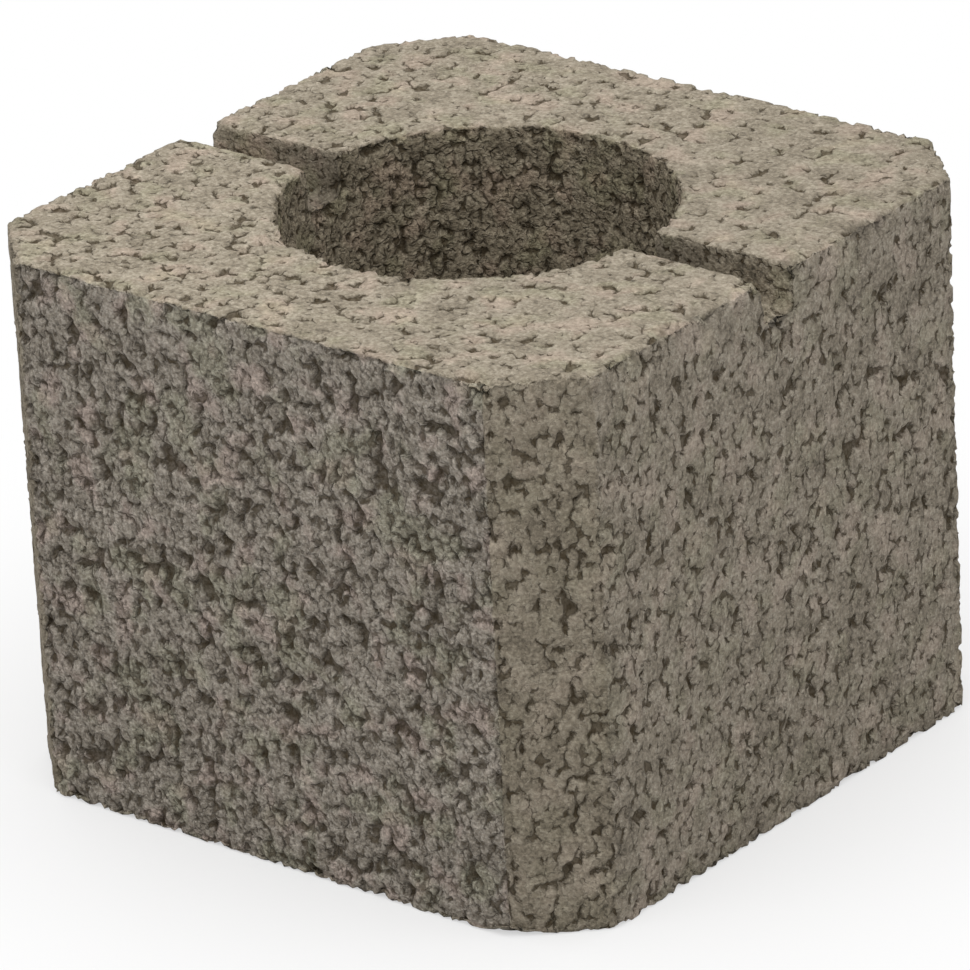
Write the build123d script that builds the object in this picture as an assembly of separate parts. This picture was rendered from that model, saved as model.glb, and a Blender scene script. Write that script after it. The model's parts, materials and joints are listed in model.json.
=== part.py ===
from build123d import *
import os

# A pillar block of open-textured concrete, cast in one piece: a square block with a flat cut on each upright
# corner, a round core hole from the bed face to the top face, and a straight tie groove across the top.
# Millimetres, +Z up, +X along the groove, origin in the middle of the bed face.

# The block
BLOCK_WIDTH = 240.0  # between the side faces along X
BLOCK_DEPTH = 240.0  # between the side faces along Y
BLOCK_HEIGHT = 190.0  # from the bed face to the top face
CORNER_CUT = 25.0  # leg of the flat cut on each upright corner

# The core hole
CORE_DIAMETER = 130.0  # straight and round, open at both ends

# The tie groove
GROOVE_WIDTH = 15.0  # between its upright walls
GROOVE_DEPTH = 15.0  # from the top face down to its floor

# How far a cutting shape runs past each face that it opens
CUT_OVERRUN = 5.0


def block_plan():
    """The outline in plan: a rectangle with its four corners cut off."""
    outline = Rectangle(BLOCK_WIDTH, BLOCK_DEPTH)
    return chamfer(outline.vertices(), CORNER_CUT)


def core_hole():
    """The round core that leaves the hole, standing past the bed face and the top face."""
    core = Cylinder(
        CORE_DIAMETER / 2,
        BLOCK_HEIGHT + 2 * CUT_OVERRUN,
        align=(Align.CENTER, Align.CENTER, Align.MIN),
    )
    return Pos(0, 0, -CUT_OVERRUN) * core


def tie_groove():
    """The channel across the top, standing past both side faces and the top face."""
    channel = Box(
        BLOCK_WIDTH + 2 * CUT_OVERRUN,
        GROOVE_WIDTH,
        GROOVE_DEPTH + CUT_OVERRUN,
        align=(Align.CENTER, Align.CENTER, Align.MIN),
    )
    return Pos(0, 0, BLOCK_HEIGHT - GROOVE_DEPTH) * channel


def concrete_block():
    """The finished block: the plan drawn up to its height, less the core hole and the groove."""
    block = extrude(block_plan(), amount=BLOCK_HEIGHT)
    return block - core_hole() - tie_groove()


os.makedirs("parts", exist_ok=True)
export_step(concrete_block(), "parts/concrete_block.step")
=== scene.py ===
import json
import math
from typing import NamedTuple

import bmesh
import bpy
import numpy as np
from mathutils import Matrix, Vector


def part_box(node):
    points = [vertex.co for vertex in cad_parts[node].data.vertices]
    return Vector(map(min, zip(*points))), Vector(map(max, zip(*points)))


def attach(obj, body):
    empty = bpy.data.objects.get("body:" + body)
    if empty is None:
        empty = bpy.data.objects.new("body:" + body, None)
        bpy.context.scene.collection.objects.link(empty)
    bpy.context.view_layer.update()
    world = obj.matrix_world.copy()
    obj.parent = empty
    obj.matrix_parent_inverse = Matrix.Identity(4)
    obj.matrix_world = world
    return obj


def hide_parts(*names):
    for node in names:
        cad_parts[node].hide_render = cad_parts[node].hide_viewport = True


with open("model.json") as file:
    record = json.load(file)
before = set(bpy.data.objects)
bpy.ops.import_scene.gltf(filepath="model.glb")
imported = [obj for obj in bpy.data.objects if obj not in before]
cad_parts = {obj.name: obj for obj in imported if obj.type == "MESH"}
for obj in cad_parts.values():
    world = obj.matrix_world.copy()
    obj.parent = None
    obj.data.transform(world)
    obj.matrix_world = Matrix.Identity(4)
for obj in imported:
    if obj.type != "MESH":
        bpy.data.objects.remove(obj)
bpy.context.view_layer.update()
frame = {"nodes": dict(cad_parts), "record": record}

bl_info = {
    "name": "Pillar block",
    "version": (1, 0, 0),
    "blender": (4, 5, 0),
    "location": "View3D > Sidebar > Pillar block",
    "description": "Casts an open-textured concrete pillar block round its CAD frame, on a pale stage",
    "category": "Object",
}

NODE = "concrete_block"
BODY = "root"
MILLIMETRE = 0.001
RECORD = frame["record"]


def named(rows, name):
    """The row of a list in the record that has this name."""
    return next(row for row in rows if row["name"] == name)


# The block's driving lengths, from the frame; the plan's reach is measured along X and Y together
BLOCK_LOW, BLOCK_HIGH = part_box(NODE)
HEIGHT = BLOCK_HIGH.z
HALF_WIDTH = BLOCK_HIGH.x
HALF_DEPTH = BLOCK_HIGH.y
PLAN_REACH = max(abs(vertex.co.x) + abs(vertex.co.y) for vertex in frame["nodes"][NODE].data.vertices)
CORNER_LEG = HALF_WIDTH + HALF_DEPTH - PLAN_REACH
CORE_RADIUS = named(RECORD["mounts"], "core_hole")["dims"]["r_mm"] * MILLIMETRE
GROOVE_LOW, GROOVE_HIGH = named(RECORD["physics"]["openings"], "tie_groove")["box_m"]
GROOVE_HALF = GROOVE_HIGH[1]
GROOVE_FLOOR = GROOVE_LOW[2]

# Directions
RIGHT = (1.0, 0.0, 0.0)
BACK = (0.0, 1.0, 0.0)
FRONT = (0.0, -1.0, 0.0)
UP = (0.0, 0.0, 1.0)
DOWN = (0.0, 0.0, -1.0)

# Names of the block's two maps
BAKE_MAP = "OFBake"
GRAIN_MAP = "grain"


# Properties


class BlockRelief(bpy.types.PropertyGroup):
    """Sizes of the grains, gaps and worn edges in the block's faces."""

    stone: bpy.props.FloatProperty(
        name="Stone",
        description="Spacing of the largest grains",
        default=4.6 * MILLIMETRE,
        unit="LENGTH",
    )
    lump: bpy.props.FloatProperty(
        name="Lump",
        description="Spacing of the common grains",
        default=2.9 * MILLIMETRE,
        unit="LENGTH",
    )
    grain: bpy.props.FloatProperty(
        name="Grain",
        description="Spacing of the small grains",
        default=1.9 * MILLIMETRE,
        unit="LENGTH",
    )
    gap_depth: bpy.props.FloatProperty(
        name="Gap depth",
        description="Depth of the gaps between the largest grains",
        default=2.0 * MILLIMETRE,
        unit="LENGTH",
    )
    lean: bpy.props.FloatProperty(
        name="Lean",
        description="How far grains stand above or below each other",
        default=0.5 * MILLIMETRE,
        unit="LENGTH",
    )
    wave: bpy.props.FloatProperty(
        name="Wave",
        description="Height of the slow waves in a face",
        default=0.5 * MILLIMETRE,
        unit="LENGTH",
    )
    warp: bpy.props.FloatProperty(
        name="Warp",
        description="How far grains are pushed out of even spacing",
        default=2.2 * MILLIMETRE,
        unit="LENGTH",
    )
    seam_depth: bpy.props.FloatProperty(
        name="Seam depth",
        description="Depth of the gaps in the finish",
        default=1.5 * MILLIMETRE,
        unit="LENGTH",
    )
    rough_depth: bpy.props.FloatProperty(
        name="Rough depth",
        description="Depth of the sandy roughness in the finish",
        default=0.45 * MILLIMETRE,
        unit="LENGTH",
    )
    arris_reach: bpy.props.FloatProperty(
        name="Arris reach",
        description="How far wear runs in from an edge",
        default=5.0 * MILLIMETRE,
        unit="LENGTH",
    )
    arris_wear: bpy.props.FloatProperty(
        name="Arris wear",
        description="Depth of the wear at an edge",
        default=0.8 * MILLIMETRE,
        unit="LENGTH",
    )
    inset: bpy.props.FloatProperty(
        name="Inset",
        description="How far the highest grains stay inside the mould",
        default=0.2 * MILLIMETRE,
        unit="LENGTH",
    )
    remesh_step: bpy.props.FloatProperty(
        name="Step",
        description="Mesh spacing while the relief is cut",
        default=1.1 * MILLIMETRE,
        unit="LENGTH",
    )
    triangles: bpy.props.IntProperty(
        name="Triangles",
        description="Most triangles in the finished mesh",
        default=197000,
        subtype="UNSIGNED",
    )


class ConcreteColours(bpy.types.PropertyGroup):
    """Colours of the cement, its tints and its shaded gaps."""

    cool: bpy.props.FloatVectorProperty(
        name="Cool",
        description="Cement on the coolest side",
        default=(0.343, 0.302, 0.250),
        subtype="COLOR",
    )
    warm: bpy.props.FloatVectorProperty(
        name="Warm",
        description="Cement on the warmest side",
        default=(0.358, 0.300, 0.207),
        subtype="COLOR",
    )
    # Painted shade: the gaps are blended towards this colour where their shade falls
    gap: bpy.props.FloatVectorProperty(
        name="Gap",
        description="Colour deep in the gaps",
        default=(0.056, 0.039, 0.0185),
        subtype="COLOR",
    )
    rose: bpy.props.FloatVectorProperty(
        name="Rose",
        description="What the rose patches multiply the cement by",
        default=(1.03, 0.95, 0.965),
        subtype="COLOR",
    )
    olive: bpy.props.FloatVectorProperty(
        name="Olive",
        description="What the olive patches multiply the cement by",
        default=(0.965, 1.01, 0.935),
        subtype="COLOR",
    )
    pale: bpy.props.FloatVectorProperty(
        name="Pale",
        description="What the palest grains multiply the cement by",
        default=(1.0, 1.02, 1.06),
        subtype="COLOR",
    )


class StageSettings(bpy.types.PropertyGroup):
    """Camera, lights and floor."""

    azimuth: bpy.props.FloatProperty(
        name="Azimuth",
        description="Turn from the front face towards the right one",
        default=math.radians(39.362),
        subtype="ANGLE",
    )
    elevation: bpy.props.FloatProperty(
        name="Elevation",
        description="Angle above the level",
        default=math.radians(23.939),
        subtype="ANGLE",
    )
    roll: bpy.props.FloatProperty(
        name="Roll",
        description="Turn about the line of sight",
        default=math.radians(-3.004),
        subtype="ANGLE",
    )
    distance: bpy.props.FloatProperty(
        name="Distance",
        description="From the aim to the camera",
        default=2.4507,
        unit="LENGTH",
    )
    aim: bpy.props.FloatVectorProperty(
        name="Aim",
        description="Point in the middle of the picture",
        default=(-0.00066, -0.00333, 0.0898),
        subtype="XYZ",
        unit="LENGTH",
    )
    lens: bpy.props.FloatProperty(
        name="Lens",
        description="Focal length in millimetres",
        default=277.4,
        unit="CAMERA",
    )
    sky: bpy.props.FloatProperty(
        name="Sky",
        description="Strength of the even light",
        default=0.09,
    )
    softbox: bpy.props.FloatProperty(
        name="Softbox",
        description="Power of the lamp overhead",
        default=70.0,
        unit="POWER",
    )
    softbox_size: bpy.props.FloatProperty(
        name="Softbox size",
        description="Length of the lamp's sides",
        default=4.0,
        unit="LENGTH",
    )
    softbox_place: bpy.props.FloatVectorProperty(
        name="Softbox place",
        description="Middle of the lamp, which looks straight down",
        default=(0.35, -0.6, 1.4),
        subtype="XYZ",
        unit="LENGTH",
    )
    floor_reach: bpy.props.FloatProperty(
        name="Floor reach",
        description="From the middle of the floor to its sides",
        default=6.0,
        unit="LENGTH",
    )


# Node helpers

WHITE = (1.0, 1.0, 1.0, 1.0)
PLAIN_DETAIL = 1.0
PLAIN_ROUGHNESS = 0.5


def opaque(colour):
    return (*colour, 1.0)


def grey(level):
    return opaque((level, level, level))


class NodeMaker:
    """Adds nodes to one tree; a value is a number, a vector or another node's socket."""

    def __init__(self, tree):
        self.tree = tree

    def feed(self, socket, value):
        if isinstance(value, bpy.types.NodeSocket):
            self.tree.links.new(value, socket)
        else:
            socket.default_value = value

    def feed_in_order(self, made, values):
        for socket, value in zip(made.inputs, values):
            self.feed(socket, value)

    def node(self, kind, inputs=None, **settings):
        made = self.tree.nodes.new(kind)
        for name, value in settings.items():
            setattr(made, name, value)
        for name, value in (inputs or {}).items():
            self.feed(made.inputs[name], value)
        return made

    def math(self, operation, *values):
        made = self.node("ShaderNodeMath", operation=operation)
        self.feed_in_order(made, values)
        return made.outputs[0]

    def largest(self, first, *others):
        for value in others:
            first = self.math("MAXIMUM", first, value)
        return first

    def total(self, first, *others):
        for value in others:
            first = self.math("ADD", first, value)
        return first

    def product(self, first, *others):
        for value in others:
            first = self.math("MULTIPLY", first, value)
        return first

    def line(self, value, start, slope):
        """A straight line: its start, and the value times its slope."""
        return self.total(start, self.product(value, slope))

    def ramp(self, value, start, end, low=0.0, high=1.0):
        """Rises smoothly from low to high while the value goes from start to end."""
        made = self.node("ShaderNodeMapRange", interpolation_type="SMOOTHSTEP")
        self.feed_in_order(made, (value, start, end, low, high))
        return made.outputs[0]

    def vector_math(self, operation, *values):
        made = self.node("ShaderNodeVectorMath", operation=operation)
        self.feed_in_order(made, values)
        return made.outputs["Value"] if operation in {"LENGTH", "DISTANCE"} else made.outputs["Vector"]

    def scaled(self, vector, factor):
        made = self.node("ShaderNodeVectorMath", operation="SCALE")
        self.feed(made.inputs[0], vector)
        self.feed(made.inputs["Scale"], factor)
        return made.outputs["Vector"]

    def blend_colour(self, share, first, second):
        made = self.node("ShaderNodeMix", data_type="RGBA")
        sockets = {socket.identifier: socket for socket in made.inputs}
        self.feed(sockets["Factor_Float"], share)
        self.feed(sockets["A_Color"], first)
        self.feed(sockets["B_Color"], second)
        return next(socket for socket in made.outputs if socket.identifier == "Result_Color")

    def blend_shader(self, share, first, second):
        made = self.node("ShaderNodeMixShader")
        self.feed_in_order(made, (share, first.outputs[0], second.outputs[0]))
        return made

    def per(self, spacing):
        """How many spacings go to a metre."""
        if isinstance(spacing, bpy.types.NodeSocket):
            return self.math("DIVIDE", 1.0, spacing)
        return 1.0 / spacing

    def noise(self, point, spacing, detail=PLAIN_DETAIL, roughness=PLAIN_ROUGHNESS):
        """Gradient noise about 0, and the same as a colour."""
        made = self.node(
            "ShaderNodeTexNoise",
            {"Vector": point, "Scale": self.per(spacing), "Detail": detail, "Roughness": roughness},
            noise_dimensions="3D",
            normalize=False,
        )
        return made.outputs[0], made.outputs[1]

    def cells(self, point, spacing):
        """Distance to the nearest of scattered points on a map, in spacings, and its random number."""
        made = self.node(
            "ShaderNodeTexVoronoi",
            {"Vector": point, "Scale": self.per(spacing)},
            voronoi_dimensions="2D",
            feature="F1",
        )
        parts = self.node("ShaderNodeSeparateXYZ", {"Vector": made.outputs["Color"]})
        return made.outputs["Distance"], parts.outputs[0]


def empty_tree(owner):
    """A maker of nodes for a material or a world, whose tree it empties."""
    owner.use_nodes = True
    owner.node_tree.nodes.clear()
    return NodeMaker(owner.node_tree)


# The mould


class GrainLay(NamedTuple):
    """How the grains lie on one kind of side."""

    large: float  # openness of the gaps between the largest grains
    fine: float  # openness of the gaps between smaller grains
    fineness: float  # grains to a length, against the front's
    drag: float  # grains to a length upwards, against those across: under 1 they are drawn out upwards
    warmth: float  # share of the warm cement
    stand: float  # how far grains stand out
    # The brightness also holds painted shade: the low values of the core and the groove darken those recesses
    tone: float  # brightness of the cement
    tint: float  # strength of the rose and olive patches
    sand: float  # strength of the sandy tones and specks


FRONT_AND_BACK = GrainLay(
    large=0.20, fine=0.42, fineness=1.0, drag=0.85, warmth=0.1, stand=1.0, tone=1.04, tint=1.0, sand=1.0
)
LEFT_AND_RIGHT = GrainLay(
    large=-0.04, fine=0.32, fineness=1.1, drag=0.75, warmth=0.40, stand=0.5, tone=0.99, tint=0.5, sand=0.7
)
CORNER_CUTS = GrainLay(
    large=-0.04, fine=0.31, fineness=1.1, drag=0.78, warmth=0.62, stand=0.5, tone=0.90, tint=0.3, sand=0.7
)
TOP = GrainLay(
    large=0.26, fine=-0.22, fineness=1.1, drag=1.0, warmth=0.58, stand=0.1, tone=1.01, tint=0.8, sand=0.75
)
BED = GrainLay(
    large=-0.10, fine=0.20, fineness=1.1, drag=1.0, warmth=0.4, stand=0.5, tone=1.0, tint=0.6, sand=0.75
)
# The core and the groove are drawn darker than the outer sides: painted shade in those recesses
CORE = GrainLay(
    large=-0.05, fine=0.42, fineness=1.35, drag=0.9, warmth=0.88, stand=0.75, tone=0.87, tint=0.9, sand=0.8
)
GROOVE = GrainLay(
    large=-0.06, fine=0.36, fineness=1.2, drag=1.0, warmth=0.7, stand=0.4, tone=0.88, tint=0.9, sand=0.95
)

# A direction is square to an axis when its part along that axis is less than this
SQUARE_ON = 0.5

# The charts that the sides are laid out on: the margin between them, and how many upright sides the first of
# their two rows has
CHART_MARGIN = 6.0 * MILLIMETRE
FIRST_ROW_SIDES = 5

# The groove's lip wears less than other edges: how wide it is, and how much farther from an edge it counts as
LIP_WIDTH = 6.0 * MILLIMETRE
LIP_SPARED = 2.5 * MILLIMETRE

# How much gaps close: at an edge, towards the upper end of a tamped side, and over the top face towards its
# right and its back
EDGE_CLOSING = 0.05
TAMPED_CLOSING = 0.25
RIGHT_CLOSING = 0.24
BACK_CLOSING = 0.20

# How much painted shade darkens the groove beside the core, and the top face towards its right and its back
GROOVE_PAINTED_SHADE = 0.28
RIGHT_PAINTED_SHADE = 0.08
BACK_PAINTED_SHADE = 0.05

# Where each of these starts and ends: from an edge, down from the top, along X, along Y and from the core
EDGE_RANGE = (1.0 * MILLIMETRE, 5.0 * MILLIMETRE)
TAMPED_RANGE = (4.0 * MILLIMETRE, 30.0 * MILLIMETRE)
RIGHT_RANGE = (-20.0 * MILLIMETRE, 70.0 * MILLIMETRE)
BACK_RANGE = (-30.0 * MILLIMETRE, 60.0 * MILLIMETRE)
GROOVE_PAINTED_SHADE_RANGE = (5.0 * MILLIMETRE, 50.0 * MILLIMETRE)


class FlatSide:
    """A flat side of the mould, tamped where it is upright, and the chart that it is laid out on."""

    def __init__(self, lay, origin, along, up, chart, within=None):
        self.lay = lay
        self.origin = np.array(origin)
        self.along = np.array(along)
        self.up = np.array(up)
        self.outward = np.cross(self.along, self.up)
        self.tamped = abs(self.outward[2]) < SQUARE_ON
        self.chart = np.array(chart)
        self.within = within

    def distance(self, points):
        off = np.abs((points - self.origin) @ self.outward)
        return off if self.within is None else np.hypot(off, self.within(points))

    def roll(self, points, about):
        off = points - self.origin
        return np.stack([off @ self.along, off @ self.up], -1)


class CoreSide:
    """The wall of the core hole, which isn't tamped, and the chart that it is rolled out on."""

    tamped = False

    def __init__(self, lay, chart):
        self.lay = lay
        self.chart = np.array(chart)

    def distance(self, points):
        return np.abs(np.hypot(points[:, 0], points[:, 1]) - CORE_RADIUS)

    def roll(self, points, about):
        """Rolls points out, each on the same side of the seam as the place that it goes with."""
        middle = np.arctan2(about[:, 1], about[:, 0])
        turn = np.arctan2(points[:, 1], points[:, 0]) - middle
        turn = (turn + np.pi) % (2 * np.pi) - np.pi
        return np.stack([(middle + np.pi + turn) * CORE_RADIUS, points[:, 2]], -1)


def outline_corners():
    """The plan's corners, anticlockwise from the left end of the front face."""
    w, d, leg = HALF_WIDTH, HALF_DEPTH, CORNER_LEG
    return [
        (leg - w, -d),
        (w - leg, -d),
        (w, leg - d),
        (w, d - leg),
        (w - leg, d),
        (leg - w, d),
        (-w, d - leg),
        (-w, leg - d),
    ]


def upright_lay(along):
    """The lay of an upright outer side, by the direction that it runs in."""
    if abs(along[1]) < SQUARE_ON:
        return FRONT_AND_BACK
    if abs(along[0]) < SQUARE_ON:
        return LEFT_AND_RIGHT
    return CORNER_CUTS


def upright_sides(rows):
    """The eight upright outer sides, in two rows of charts, and where the second row ends."""
    corners = outline_corners()
    sides = []
    reach = 0.0
    row = rows[0]
    for number, (start, end) in enumerate(zip(corners, corners[1:] + corners[:1])):
        if number == FIRST_ROW_SIDES:
            reach = 0.0
            row = rows[1]
        span = np.subtract(end, start)
        length = np.hypot(*span)
        along = (*(span / length), 0.0)
        sides.append(FlatSide(upright_lay(along), (*start, 0.0), along, UP, (reach, row)))
        reach += length
    return sides, reach


def groove_sides(chart):
    """The groove's two walls and its floor, unfolded beside each other."""
    deep = HEIGHT - GROOVE_FLOOR
    wide = 2 * GROOVE_HALF
    u, v = chart

    def below(points):
        return np.clip(GROOVE_FLOOR - points[:, 2], 0.0, None)

    def beside(points):
        return np.clip(np.abs(points[:, 1]) - GROOVE_HALF, 0.0, None)

    front = (-HALF_WIDTH, -GROOVE_HALF, HEIGHT)
    floor = (-HALF_WIDTH, -GROOVE_HALF, GROOVE_FLOOR)
    rear = (-HALF_WIDTH, GROOVE_HALF, GROOVE_FLOOR)
    return [
        FlatSide(GROOVE, front, RIGHT, DOWN, (u, v), below),
        FlatSide(GROOVE, floor, RIGHT, BACK, (u, v + deep), beside),
        FlatSide(GROOVE, rear, RIGHT, UP, (u, v + deep + wide), below),
    ]


def mould_sides():
    """Every side of the mould, and the length of the square that their charts fill."""
    first_row = 2 * HALF_DEPTH + CHART_MARGIN
    second_row = first_row + HEIGHT + CHART_MARGIN
    groove_row = second_row + HEIGHT + CHART_MARGIN
    upright, reach = upright_sides((first_row, second_row))
    core_start = reach + CHART_MARGIN
    bed_start = 2 * HALF_WIDTH + CHART_MARGIN
    sides = [
        FlatSide(TOP, (-HALF_WIDTH, -HALF_DEPTH, HEIGHT), RIGHT, BACK, (0.0, 0.0)),
        FlatSide(BED, (-HALF_WIDTH, HALF_DEPTH, 0.0), RIGHT, FRONT, (bed_start, 0.0)),
        CoreSide(CORE, (core_start, second_row)),
        *upright,
        *groove_sides((0.0, groove_row)),
    ]
    across = core_start + 2 * np.pi * CORE_RADIUS
    tall = groove_row + 2 * (HEIGHT - GROOVE_FLOOR) + 2 * GROOVE_HALF
    return sides, max(across, tall)


def nearest_side(points, sides):
    return np.argmin([side.distance(points) for side in sides], axis=0)


def edge_distance(points):
    """Distance from surface points to the nearest edge: the second least of their depths under the faces."""
    x, y, z = np.abs(points[:, 0]), np.abs(points[:, 1]), points[:, 2]
    depths = [
        HEIGHT - z,
        z,
        HALF_WIDTH - x,
        HALF_DEPTH - y,
        (PLAN_REACH - x - y) / math.sqrt(2),
        np.hypot(x, y) - CORE_RADIUS,
        np.maximum(y - GROOVE_HALF, GROOVE_FLOOR - z),
    ]
    return np.sort(depths, axis=0)[1]


def smooth(values, start, end):
    """Rises smoothly from 0 to 1 while the values go from start to end."""
    share = np.clip((values - start) / (end - start), 0.0, 1.0)
    return share * share * (3.0 - 2.0 * share)


def read_vectors(items, name):
    """A vector of every item, as rows."""
    values = np.empty(len(items) * 3)
    items.foreach_get(name, values)
    return values.reshape(-1, 3)


def read_whole(items, name):
    """A whole number of every item."""
    values = np.empty(len(items), np.int32)
    items.foreach_get(name, values)
    return values


def store(mesh, name, kind, values):
    """Leaves a value on every vertex."""
    attribute = mesh.attributes.new(name, kind, "POINT")
    part = "vector" if kind == "FLOAT_VECTOR" else "value"
    attribute.data.foreach_set(part, np.ravel(values).astype(np.float32))


def chart_places(points, about, chosen, sides):
    """Places of points on their sides' charts."""
    places = np.empty((len(points), 2))
    for number, side in enumerate(sides):
        mine = chosen == number
        places[mine] = side.chart + side.roll(points[mine], about[mine])
    return places


def grain_places(charts, chosen, sides):
    """Places on the charts, stretched as the grains there lie."""
    stretches = np.array([(side.lay.fineness, side.lay.fineness * side.lay.drag) for side in sides])
    return charts * stretches[chosen]


def mark_mould(mesh, sides):
    """Leaves on each vertex its place on the mould, how the grains lie there, how near an edge is and the
    painted shade of the groove and top.
    """
    points = read_vectors(mesh.vertices, "co")
    x, y, z = points.T
    chosen = nearest_side(points, sides)
    places = grain_places(chart_places(points, points, chosen, sides), chosen, sides)
    lay = dict(zip(GrainLay._fields, np.array([side.lay for side in sides])[chosen].T))
    tamped = np.array([side.tamped for side in sides])[chosen]
    on_top = np.array([side.lay is TOP for side in sides])[chosen]
    in_groove = np.array([side.lay is GROOVE for side in sides])[chosen]

    lip = (np.abs(y) < GROOVE_HALF + LIP_WIDTH) & (z > GROOVE_FLOOR)
    edge = edge_distance(points) + np.where(lip, LIP_SPARED, 0.0)
    rightward = smooth(x, *RIGHT_RANGE)
    backward = smooth(y, *BACK_RANGE)
    closing = EDGE_CLOSING * (1.0 - smooth(edge, *EDGE_RANGE))
    closing += np.where(tamped, TAMPED_CLOSING * (1.0 - smooth(HEIGHT - z, *TAMPED_RANGE)), 0.0)
    closing += np.where(on_top, RIGHT_CLOSING * rightward + BACK_CLOSING * backward, 0.0)
    # Painted shade: the groove drawn darker beside the core, and the top face darker towards its right and
    # its back
    beside_core = 1.0 - smooth(np.hypot(x, y) - CORE_RADIUS, *GROOVE_PAINTED_SHADE_RANGE)
    painted_shade = np.where(in_groove, GROOVE_PAINTED_SHADE * beside_core, 0.0)
    painted_shade += np.where(on_top, RIGHT_PAINTED_SHADE * rightward + BACK_PAINTED_SHADE * backward, 0.0)

    store(mesh, "mould", "FLOAT_VECTOR", points)
    store(mesh, "chart", "FLOAT_VECTOR", np.column_stack([places, np.zeros(len(places))]))
    marks = {
        "large": lay["large"] - closing,
        "fine": lay["fine"] - closing,
        "warmth": lay["warmth"],
        "stand": lay["stand"],
        "tone": lay["tone"] * (1.0 - painted_shade),
        "tint": lay["tint"],
        "sand": lay["sand"],
        "edge": edge,
    }
    for name, values in marks.items():
        store(mesh, name, "FLOAT", values)


def add_map(mesh, name, places):
    layer = mesh.uv_layers.new(name=name)
    layer.uv.foreach_set("vector", np.ravel(places).astype(np.float32))


def lay_maps(mesh, sides, square):
    """Gives the finished mesh its bake map, of the charts, and its grain map, pushed as the relief was."""
    corners = read_whole(mesh.loops, "vertex_index")
    counts = read_whole(mesh.polygons, "loop_total")
    faces = np.repeat(np.arange(len(counts)), counts)
    points = read_vectors(mesh.attributes["mould"].data, "vector")[corners]
    push = read_vectors(mesh.attributes["push"].data, "vector")[corners]
    middles = np.stack([np.bincount(faces, part) for part in points.T], -1) / counts[:, None]
    chosen = nearest_side(middles, sides)[faces]
    charts = chart_places(points, middles[faces], chosen, sides)
    add_map(mesh, BAKE_MAP, charts / square)
    add_map(mesh, GRAIN_MAP, grain_places(charts, chosen, sides) + push[:, :2])


# The relief

RELIEF_LENGTHS = ("stone", "lump", "gap_depth", "lean", "wave", "warp", "arris_reach", "arris_wear", "inset")

# Where a gap of openness 0 starts, from a grain's middle, how openness moves that, and how far it is from
# there to its full depth; all in spacings of the grains
GAP_START = 0.62
GAP_OPENING = -0.28
GAP_RISE = 0.34

# Spacings of the noises, against the largest grains' spacing
PUSH_SPACING = 0.8
STONE_SWING_SPACING = 1.6
LUMP_SWING_SPACING = 1.0
GRAIN_SWING_SPACING = 0.8

# Spacings of the noises that don't go with the grains, and the detail of the patches' noises
WAVE_SPACING = 8.0 * MILLIMETRE
RAGGED_SPACING = 3.5 * MILLIMETRE
ROSE_SPACING = 12.0 * MILLIMETRE
OLIVE_SPACING = 14.0 * MILLIMETRE
PATCH_DETAIL = 2.0

# How far each noise is moved, so that no two are alike
STONE_SHIFT = (0.4, 0.0, 0.0)
LUMP_SHIFT = (0.0, 0.4, 0.0)
GRAIN_SHIFT = (0.2, 0.4, 0.0)
WAVE_SHIFT = (0.0, 0.0, 0.4)
RAGGED_SHIFT = (0.4, 0.4, 0.0)
ROSE_SHIFT = (0.7, 0.3, 0.1)
OLIVE_SHIFT = (0.1, 0.7, 0.3)

# Shares of the warp in a push, of the swings in the openness and of the depth in the gaps; a line has a
# start, where grains don't stand out, and a slope
PUSH_SHARE = 0.5
STONE_SWING = 1.6
FINE_SWING_LINE = (0.8, 0.8)
STONE_GAP_LINE = (0.6, 0.4)
LUMP_GAP_LINE = (0.10, 0.25)

# Ranges of the noises of the waves and the worn edges, and how much the wear varies along an edge
WAVE_RANGE = (-0.5, 0.5)
RAGGED_RANGE = (-0.2, 0.4)
WEAR_RANGE = (0.0, 2.0)

# The chips: how ragged they are, the turn to the one in the core's rim, and how far behind the groove's
# middle those at its right mouth and along the upper right edge lie
CHIP_RAGGED = 4.0 * MILLIMETRE
RIM_CHIP_TURN = math.radians(-118.0)
MOUTH_CHIP_ACROSS = 1.0 * MILLIMETRE
FIRST_CHIP_ACROSS = -55.0 * MILLIMETRE
SECOND_CHIP_ACROSS = -38.0 * MILLIMETRE
THIRD_CHIP_ACROSS = 47.0 * MILLIMETRE
FOURTH_CHIP_ACROSS = 56.0 * MILLIMETRE


class Chip(NamedTuple):
    """A worn or broken spot."""

    place: tuple  # its middle
    reach: float  # how far it runs from its middle
    depth: float  # how deep it is in the middle
    # The darkening in a chip is painted shade in its recess
    dark: float = 0.0  # how much darker it is in the middle


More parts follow.
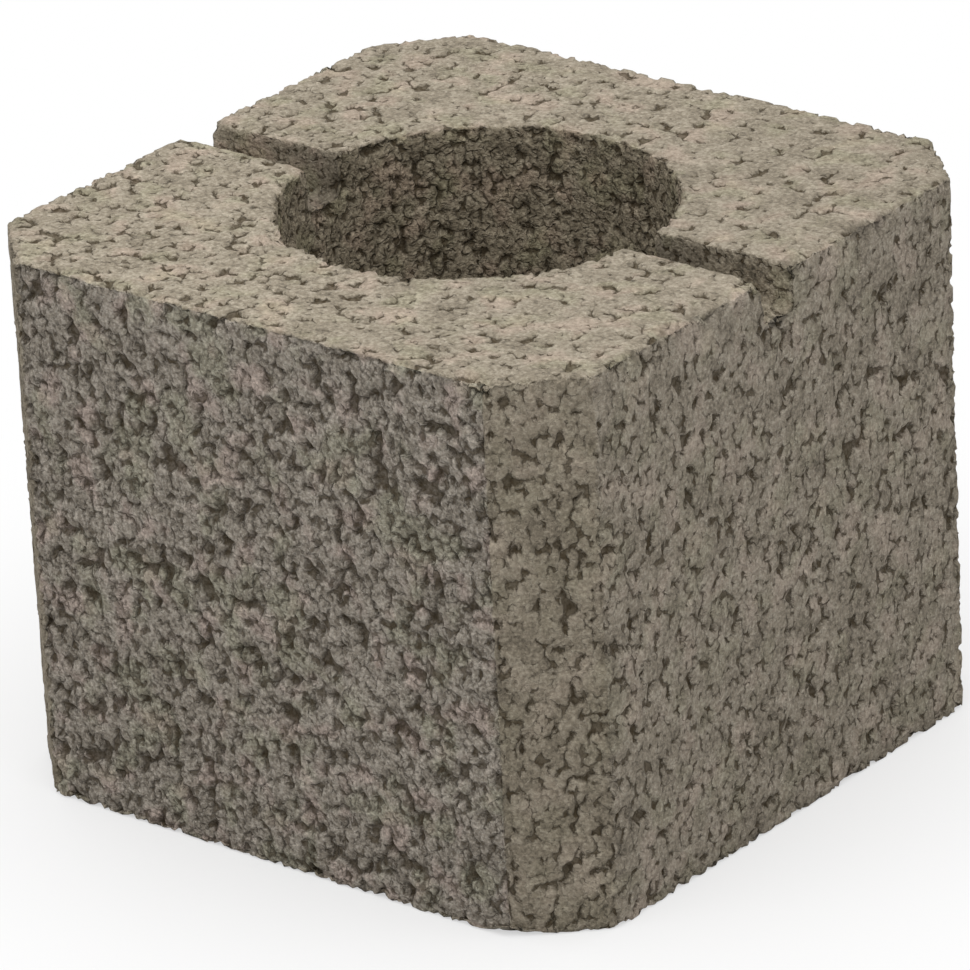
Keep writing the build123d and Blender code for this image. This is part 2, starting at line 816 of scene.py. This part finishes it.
def worn_spots():
    """Where the block is chipped: the core's rim, the groove, the upper right edge and the front corner."""
    rim = (CORE_RADIUS * math.cos(RIM_CHIP_TURN), CORE_RADIUS * math.sin(RIM_CHIP_TURN), HEIGHT)
    shoulder = -math.sqrt(CORE_RADIUS**2 - GROOVE_HALF**2)
    front_corner = (HALF_WIDTH - CORNER_LEG, -HALF_DEPTH)
    return [
        Chip(rim, reach=0.011, depth=0.0035),
        Chip((shoulder, -GROOVE_HALF, HEIGHT), reach=0.006, depth=0.0015),
        Chip((shoulder, 0.0, GROOVE_FLOOR), reach=0.010, depth=0.0025, dark=0.3),
        Chip((HALF_WIDTH, FIRST_CHIP_ACROSS, HEIGHT), reach=0.007, depth=0.0030, dark=0.5),
        Chip((HALF_WIDTH, SECOND_CHIP_ACROSS, HEIGHT), reach=0.009, depth=0.0035, dark=0.5),
        Chip((HALF_WIDTH, THIRD_CHIP_ACROSS, HEIGHT), reach=0.007, depth=0.0030, dark=0.6),
        Chip((HALF_WIDTH, FOURTH_CHIP_ACROSS, HEIGHT), reach=0.006, depth=0.0025, dark=0.6),
        Chip((HALF_WIDTH, -GROOVE_HALF, HEIGHT), reach=0.009, depth=0.0035),
        Chip((HALF_WIDTH, GROOVE_HALF, HEIGHT), reach=0.008, depth=0.0030, dark=0.5),
        Chip((HALF_WIDTH, MOUTH_CHIP_ACROSS, GROOVE_FLOOR), reach=0.006, depth=0.0020, dark=0.6),
        Chip((-HALF_WIDTH, -GROOVE_HALF, HEIGHT), reach=0.005, depth=0.0010),
        Chip((-HALF_WIDTH, GROOVE_HALF, HEIGHT), reach=0.006, depth=0.0020, dark=0.3),
        Chip((*front_corner, HEIGHT), reach=0.014, depth=0.0030),
        Chip((*front_corner, 0.0), reach=0.016, depth=0.0030),
    ]


def grain_gap(make, far, openness):
    """Gap between grains of one size, 0 on a grain and 1 in the middle of the gap."""
    start = make.line(openness, GAP_START, GAP_OPENING)
    return make.ramp(far, start, make.total(start, GAP_RISE))


def marked(make, name, kind="FLOAT"):
    """What mark_mould left on the vertices under this name."""
    return make.node("GeometryNodeInputNamedAttribute", {"Name": name}, data_type=kind).outputs["Attribute"]


def moved_noise(make, point, shift, spacing, detail=PLAIN_DETAIL):
    """Noise about 0, moved from where it would be."""
    return make.noise(make.vector_math("ADD", point, shift), spacing, detail)[0]


def relief_openness(make, point, stone, stand):
    """How open the gaps of each size of grain are."""

    def swing(shift, spacing):
        return moved_noise(make, point, shift, make.product(stone, spacing))

    fine_swing = make.line(stand, *FINE_SWING_LINE)
    lump_swing = make.product(swing(LUMP_SHIFT, LUMP_SWING_SPACING), fine_swing)
    grain_swing = make.product(swing(GRAIN_SHIFT, GRAIN_SWING_SPACING), fine_swing)
    return {
        "stone_open": make.line(swing(STONE_SHIFT, STONE_SWING_SPACING), marked(make, "large"), STONE_SWING),
        "lump_open": make.total(marked(make, "fine"), lump_swing),
        "grain_open": make.total(marked(make, "fine"), grain_swing),
    }


def relief_depth(make, given, point, place, opened, stand):
    """How far the gaps, the leaning grains and the waves lie under the mould."""
    stone_far, lean = make.cells(place, given["stone"])
    lump_far, _ = make.cells(place, given["lump"])
    stone_gap = grain_gap(make, stone_far, opened["stone_open"])
    lump_gap = grain_gap(make, lump_far, opened["lump_open"])
    wave = make.ramp(moved_noise(make, point, WAVE_SHIFT, WAVE_SPACING), *WAVE_RANGE)
    return make.total(
        make.product(stone_gap, given["gap_depth"], make.line(stand, *STONE_GAP_LINE)),
        make.product(lump_gap, given["gap_depth"], make.line(stand, *LUMP_GAP_LINE)),
        make.product(lean, given["lean"], stand),
        make.product(wave, given["wave"], stand),
    )


def relief_wear(make, given, point):
    """How deep the edges and the chips are worn, and how much painted shade darkens the chips' recesses."""
    ragged = moved_noise(make, point, RAGGED_SHIFT, RAGGED_SPACING)
    near = make.ramp(marked(make, "edge"), 0.0, given["arris_reach"], 1.0, 0.0)
    worn = make.product(near, make.ramp(ragged, *RAGGED_RANGE, *WEAR_RANGE), given["arris_wear"])
    hollow = 0.0
    for chip in worn_spots():
        away = make.vector_math("DISTANCE", point, chip.place)
        away = make.total(away, make.product(ragged, CHIP_RAGGED))
        worn = make.largest(worn, make.ramp(away, 0.0, chip.reach, chip.depth, 0.0))
        hollow = make.largest(hollow, make.ramp(away, 0.0, chip.reach, chip.dark, 0.0))
    return worn, hollow


def add_sockets(tree):
    """Gives the relief's tree its inputs and its output."""
    tree.interface.new_socket("Geometry", in_out="INPUT", socket_type="NodeSocketGeometry")
    for name in RELIEF_LENGTHS:
        tree.interface.new_socket(name, in_out="INPUT", socket_type="NodeSocketFloat")
    tree.interface.new_socket("Material", in_out="INPUT", socket_type="NodeSocketMaterial")
    tree.interface.new_socket("Geometry", in_out="OUTPUT", socket_type="NodeSocketGeometry")


def relief_tree():
    """Geometry Nodes that press the concrete's relief into the mould faces of a closed mesh."""
    tree = bpy.data.node_groups.new("Concrete relief", "GeometryNodeTree")
    add_sockets(tree)
    make = NodeMaker(tree)
    given = make.node("NodeGroupInput").outputs
    point = make.node("GeometryNodeInputPosition").outputs[0]
    normal = make.node("GeometryNodeInputNormal").outputs[0]
    stand = marked(make, "stand")
    _, push = make.noise(point, make.product(given["stone"], PUSH_SPACING))
    push = make.scaled(push, make.product(given["warp"], PUSH_SHARE))
    place = make.vector_math("ADD", marked(make, "chart", "FLOAT_VECTOR"), push)
    opened = relief_openness(make, point, given["stone"], stand)
    depth = relief_depth(make, given, point, place, opened, stand)
    worn, hollow = relief_wear(make, given, point)
    kept = {
        **opened,
        "rose": moved_noise(make, point, ROSE_SHIFT, ROSE_SPACING, PATCH_DETAIL),
        "olive": moved_noise(make, point, OLIVE_SHIFT, OLIVE_SPACING, PATCH_DETAIL),
        "hollow": hollow,
    }

    def keep(geometry, name, kind, value):
        inputs = {"Geometry": geometry, "Name": name, "Value": value}
        made = make.node("GeometryNodeStoreNamedAttribute", inputs, data_type=kind, domain="POINT")
        return made.outputs[0]

    geometry = keep(given["Geometry"], "push", "FLOAT_VECTOR", push)
    for name, value in kept.items():
        geometry = keep(geometry, name, "FLOAT", value)
    inward = make.product(make.total(depth, worn, given["inset"]), -1.0)
    pressing = {"Geometry": geometry, "Offset": make.scaled(normal, inward)}
    pressed = make.node("GeometryNodeSetPosition", pressing)
    rounded = make.node("GeometryNodeSetShadeSmooth", {"Geometry": pressed.outputs[0]})
    realized = make.node("GeometryNodeRealizeInstances", {"Geometry": rounded.outputs[0]})
    dressing = {"Geometry": realized.outputs[0], "Material": given["Material"]}
    dressed = make.node("GeometryNodeSetMaterial", dressing)
    make.node("NodeGroupOutput", {"Geometry": dressed.outputs[0]})
    return tree


# The finish

# Spacings and shape of the sandy noises, and how far they crumble the grains' outlines
ROUGH_SPACING = 1.7 * MILLIMETRE
ROUGH_DETAIL = 2.0
ROUGH_ROUGHNESS = 0.6
GRIT_SPACING = 1.1 * MILLIMETRE
CRUMBLE = 0.6 * MILLIMETRE

# How much smaller gaps count beside the largest, in the shade and in the depth
LUMP_SHADE = 0.9
GRAIN_SHADE = 0.65
LUMP_SEAM = 0.8
GRAIN_SEAM = 0.35

# The light on the cement: its base, and what each kind of grain, the roughness and the patches add
BASE_LIGHT = 0.78
STONE_LIGHT = 0.10
LUMP_LIGHT = 0.20
GRAIN_LIGHT = 0.22
ROUGH_LIGHT = 0.34
ROSE_LIGHT = 0.32

# Specks, as ranges of the grit and the light that they add, and ranges of the patches and of pale grains
# The pale specks are sand grains and painted glints, the dark ones painted shade in small pores
PALE_SPECKS_AND_GLINTS = (0.15, 0.45, 0.0, 0.35)
DARK_PORE_SHADE = (-0.45, -0.15, -0.25, 0.0)
PATCH_RANGE = (0.0, 0.5)
PALE_RANGE = (0.85, 1.20)

# How far grains stand in the finish, and the shade in the gaps: how much of a gap it starts and ends at, how
# dark it gets, and what the seams between small grains add and where; a line has a start, where grains don't
# stand out, and a slope
FINISH_STAND_LINE = (0.5, 0.5)
SHADE_START = 0.15
SHADE_END_LINE = (0.45, 0.5)
SHADE_LINE = (0.74, -0.06)
BETWEEN_SHADE = 0.22
BETWEEN_RANGE = (0.25, 0.75)

# The matt surface
MATT_ROUGHNESS = 0.92
MATT_SHINE = 0.25


def stored(make, name):
    """What the relief left on the block under this name."""
    return make.node("ShaderNodeAttribute", attribute_name=name).outputs["Fac"]


def cement_colour(make, colours, light):
    """Cement in the light, with rose and olive patches and pale grains, darkened where painted shade was left
    on the block.
    """
    tint = stored(make, "tint")
    rose_share = make.product(make.ramp(stored(make, "rose"), *PATCH_RANGE), tint)
    olive_share = make.product(make.ramp(stored(make, "olive"), *PATCH_RANGE), tint)
    pale_share = make.ramp(light, *PALE_RANGE)
    colour = make.blend_colour(stored(make, "warmth"), opaque(colours.cool), opaque(colours.warm))
    tints = ((rose_share, colours.rose), (olive_share, colours.olive), (pale_share, colours.pale))
    for share, factor in tints:
        colour = make.vector_math("MULTIPLY", colour, make.blend_colour(share, WHITE, opaque(factor)))
    unlit = make.math("SUBTRACT", 1.0, stored(make, "hollow"))
    return make.scaled(colour, make.product(light, stored(make, "tone"), unlit))


def concrete_material(relief, colours):
    """Matt cement: painted shade in its gaps, varied grains, sandy specks, painted glints, faint rose and
    olive patches.
    """
    material = bpy.data.materials.new("open_textured_concrete")
    make = empty_tree(material)
    here = make.node("ShaderNodeTexCoord").outputs["Object"]
    rough, crumble = make.noise(here, ROUGH_SPACING, ROUGH_DETAIL, ROUGH_ROUGHNESS)
    grit, _ = make.noise(here, GRIT_SPACING)
    place = make.node("ShaderNodeUVMap", uv_map=GRAIN_MAP).outputs[0]
    place = make.vector_math("ADD", place, make.scaled(crumble, CRUMBLE))
    stone_far, stone_tone = make.cells(place, relief.stone)
    lump_far, lump_tone = make.cells(place, relief.lump)
    grain_far, grain_tone = make.cells(place, relief.grain)
    stone_gap = grain_gap(make, stone_far, stored(make, "stone_open"))
    lump_gap = grain_gap(make, lump_far, stored(make, "lump_open"))
    grain_gaps = grain_gap(make, grain_far, stored(make, "grain_open"))

    sand = stored(make, "sand")
    specks_and_painted_light = make.total(make.ramp(grit, *PALE_SPECKS_AND_GLINTS), make.ramp(grit, *DARK_PORE_SHADE))
    light = make.total(
        BASE_LIGHT,
        make.product(stone_tone, STONE_LIGHT),
        make.product(lump_tone, LUMP_LIGHT),
        make.product(grain_tone, sand, GRAIN_LIGHT),
        make.product(rough, sand, ROUGH_LIGHT),
        make.product(stored(make, "rose"), ROSE_LIGHT),
        make.product(specks_and_painted_light, sand),
    )
    stand = make.line(stored(make, "stand"), *FINISH_STAND_LINE)
    # Painted shade: gaps and the seams between small grains are blended towards the gap colour, more where
    # grains stand out less
    small_shade = make.product(grain_gaps, stored(make, "stand"), GRAIN_SHADE)
    gap = make.largest(stone_gap, make.product(lump_gap, LUMP_SHADE), small_shade)
    between = make.ramp(grain_far, *BETWEEN_RANGE)
    darkest = make.line(between, make.line(stand, *SHADE_LINE), BETWEEN_SHADE)
    shade = make.product(make.ramp(gap, SHADE_START, make.line(stand, *SHADE_END_LINE)), darkest)
    colour = make.blend_colour(shade, cement_colour(make, colours, light), opaque(colours.gap))

    deep = make.largest(stone_gap, make.product(lump_gap, LUMP_SEAM), make.product(grain_gaps, GRAIN_SEAM))
    seams = make.product(deep, -relief.seam_depth)
    height = make.product(stand, make.total(seams, make.product(rough, relief.rough_depth)))
    bump = make.node("ShaderNodeBump", {"Height": height, "Strength": 1.0, "Distance": 1.0})
    surface = {
        "Base Color": colour,
        "Roughness": MATT_ROUGHNESS,
        "Specular IOR Level": MATT_SHINE,
        "Normal": bump.outputs[0],
    }
    shader = make.node("ShaderNodeBsdfPrincipled", surface)
    make.node("ShaderNodeOutputMaterial", {"Surface": shader.outputs[0]})
    return material


# The block

MERGE_DISTANCE = 0.001 * MILLIMETRE


def merged_copy(name):
    """A new object with the CAD node's mesh, its loose triangles joined at their corners."""
    mesh = frame["nodes"][NODE].data.copy()
    mesh.name = name
    shape = bmesh.new()
    shape.from_mesh(mesh)
    bmesh.ops.remove_doubles(shape, verts=shape.verts, dist=MERGE_DISTANCE)
    shape.to_mesh(mesh)
    shape.free()
    mesh.materials.clear()
    piece = bpy.data.objects.new(name, mesh)
    bpy.context.scene.collection.objects.link(piece)
    return piece


def set_inputs(modifier, values):
    """Sets a Geometry Nodes modifier's inputs by their sockets' identifiers."""
    for item in modifier.node_group.interface.items_tree:
        if item.item_type == "SOCKET" and item.in_out == "INPUT" and item.name in values:
            modifier[item.identifier] = values[item.name]


def triangle_count(mesh):
    return sum(len(face.vertices) - 2 for face in mesh.polygons)


def apply_modifiers(piece):
    """Turns the piece's modifiers into its plain mesh."""
    graph = bpy.context.evaluated_depsgraph_get()
    shaped = piece.evaluated_get(graph)
    mesh = bpy.data.meshes.new_from_object(shaped, preserve_all_data_layers=True, depsgraph=graph)
    piece.modifiers.clear()
    piece.data = mesh


def keep_inside(mesh, low, high):
    """Holds every vertex inside a box."""
    points = np.clip(read_vectors(mesh.vertices, "co"), low, high)
    mesh.vertices.foreach_set("co", np.ravel(points).astype(np.float32))
    mesh.update()


class CONCRETE_OT_cast_block(bpy.types.Operator):
    """Casts the block: the CAD solid, remeshed finely, with the concrete's relief pressed into its faces"""

    bl_idname = "concrete.cast_block"
    bl_label = "Cast block"

    def execute(self, context):
        relief = context.scene.block_relief
        material = concrete_material(relief, context.scene.concrete_colours)
        sides, square = mould_sides()
        piece = merged_copy("pillar_block")
        remesh = piece.modifiers.new("Mould faces", "REMESH")
        remesh.mode = "VOXEL"
        remesh.voxel_size = relief.remesh_step
        apply_modifiers(piece)
        mark_mould(piece.data, sides)
        pressed = piece.modifiers.new("Relief", "NODES")
        pressed.node_group = relief_tree()
        lengths = {name: getattr(relief, name) for name in RELIEF_LENGTHS}
        set_inputs(pressed, {**lengths, "Material": material})
        apply_modifiers(piece)
        thinned = piece.modifiers.new("Thinned", "DECIMATE")
        thinned.use_collapse_triangulate = True
        thinned.ratio = min(1.0, relief.triangles / triangle_count(piece.data))
        apply_modifiers(piece)
        keep_inside(piece.data, BLOCK_LOW, BLOCK_HIGH)
        lay_maps(piece.data, sides, square)
        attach(piece, BODY)
        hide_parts(NODE)
        return {"FINISHED"}


# Stage

# The floor: where its fading starts and ends, how white it is there, its own grey and the grey it throws back
FADE_RANGE = (0.10, 0.32)
FADE_WHITE = (0.5, 1.0)
FLOOR_GREY = 0.98
BOUNCE_GREY = 0.62

# The camera: the width of its sensor in millimetres, and how far it sees
SENSOR_WIDTH = 36.0
SIGHT = 50.0


def background_share(make):
    """1 where a ray comes straight from the camera, or by way of a mirror or glass."""
    path = make.node("ShaderNodeLightPath").outputs
    return make.largest(path["Is Camera Ray"], path["Is Glossy Ray"], path["Is Transmission Ray"])


def stage_world(strength):
    """Even light from all round, seen as a white background."""
    world = bpy.data.worlds.new("Even light")
    make = empty_tree(world)
    seen = make.node("ShaderNodeBackground", {"Color": WHITE, "Strength": 1.0})
    lit = make.node("ShaderNodeBackground", {"Color": WHITE, "Strength": strength})
    mixed = make.blend_shader(background_share(make), lit, seen)
    make.node("ShaderNodeOutputWorld", {"Surface": mixed.outputs[0]})
    return world


def floor_material():
    """A pale floor that fades to the white background away from the block."""
    material = bpy.data.materials.new("pale_floor")
    make = empty_tree(material)
    here = make.node("ShaderNodeTexCoord").outputs["Object"]
    away = make.ramp(make.vector_math("LENGTH", here), *FADE_RANGE, *FADE_WHITE)
    lit = make.node("ShaderNodeBsdfDiffuse", {"Color": grey(FLOOR_GREY)})
    white = make.node("ShaderNodeEmission", {"Color": WHITE, "Strength": 1.0})
    bounce = make.node("ShaderNodeBsdfDiffuse", {"Color": grey(BOUNCE_GREY)})
    seen = make.blend_shader(away, lit, white)
    mixed = make.blend_shader(background_share(make), bounce, seen)
    make.node("ShaderNodeOutputMaterial", {"Surface": mixed.outputs[0]})
    return material


def floor_object(reach):
    """A square floor at the height of the bed face."""
    corners = [(-reach, -reach, 0.0), (reach, -reach, 0.0), (reach, reach, 0.0), (-reach, reach, 0.0)]
    mesh = bpy.data.meshes.new("floor")
    mesh.from_pydata(corners, [], [range(len(corners))])
    mesh.materials.append(floor_material())
    return bpy.data.objects.new("floor", mesh)


def softbox_object(stage):
    """A square lamp overhead that looks straight down."""
    lamp = bpy.data.lights.new("softbox", "AREA")
    lamp.shape = "SQUARE"
    lamp.size = stage.softbox_size
    lamp.energy = stage.softbox
    softbox = bpy.data.objects.new("softbox", lamp)
    softbox.location = stage.softbox_place
    return softbox


def camera_object(stage):
    """A camera that looks at the aim from its distance, turned, raised and rolled."""
    data = bpy.data.cameras.new("camera")
    data.lens = stage.lens
    data.sensor_width = SENSOR_WIDTH
    data.clip_end = SIGHT
    camera = bpy.data.objects.new("camera", data)
    turn = Matrix.Rotation(stage.azimuth, 4, "Z")
    lift = Matrix.Rotation(math.pi / 2 - stage.elevation, 4, "X")
    place = Matrix.Translation((0.0, 0.0, stage.distance))
    roll = Matrix.Rotation(stage.roll, 4, "Z")
    camera.matrix_world = Matrix.Translation(stage.aim) @ turn @ lift @ place @ roll
    return camera


class CONCRETE_OT_set_stage(bpy.types.Operator):
    """Sets the block on a pale floor, under soft light from above, before the camera"""

    bl_idname = "concrete.set_stage"
    bl_label = "Set stage"

    def execute(self, context):
        scene = context.scene
        stage = scene.block_stage
        scene.view_settings.view_transform = "Standard"
        scene.world = stage_world(stage.sky)
        floor = floor_object(stage.floor_reach)
        camera = camera_object(stage)
        for item in (floor, softbox_object(stage), camera):
            scene.collection.objects.link(item)
        scene.camera = camera
        return {"FINISHED"}


class CONCRETE_PT_pillar_block(bpy.types.Panel):
    """Lists the block's operators and settings"""

    bl_label = "Pillar block"
    bl_idname = "CONCRETE_PT_pillar_block"
    bl_space_type = "VIEW_3D"
    bl_region_type = "UI"
    bl_category = "Pillar block"

    def draw(self, context):
        layout = self.layout
        for operator in OPERATORS:
            layout.operator(operator.bl_idname)
        for name in SETTINGS:
            box = layout.box()
            group = getattr(context.scene, name)
            for item in type(group).__annotations__:
                box.prop(group, item)


OPERATORS = (CONCRETE_OT_cast_block, CONCRETE_OT_set_stage)
SETTINGS = {"block_relief": BlockRelief, "concrete_colours": ConcreteColours, "block_stage": StageSettings}


def register():
    for group in SETTINGS.values():
        bpy.utils.register_class(group)
    for name, group in SETTINGS.items():
        setattr(bpy.types.Scene, name, bpy.props.PointerProperty(type=group))
    for operator in OPERATORS:
        bpy.utils.register_class(operator)
    bpy.utils.register_class(CONCRETE_PT_pillar_block)


def unregister():
    bpy.utils.unregister_class(CONCRETE_PT_pillar_block)
    for operator in reversed(OPERATORS):
        bpy.utils.unregister_class(operator)
    for name, group in SETTINGS.items():
        delattr(bpy.types.Scene, name)
        bpy.utils.unregister_class(group)


def main():
    register()
    bpy.ops.concrete.cast_block()
    bpy.ops.concrete.set_stage()


if __name__ == "__main__":
    main()
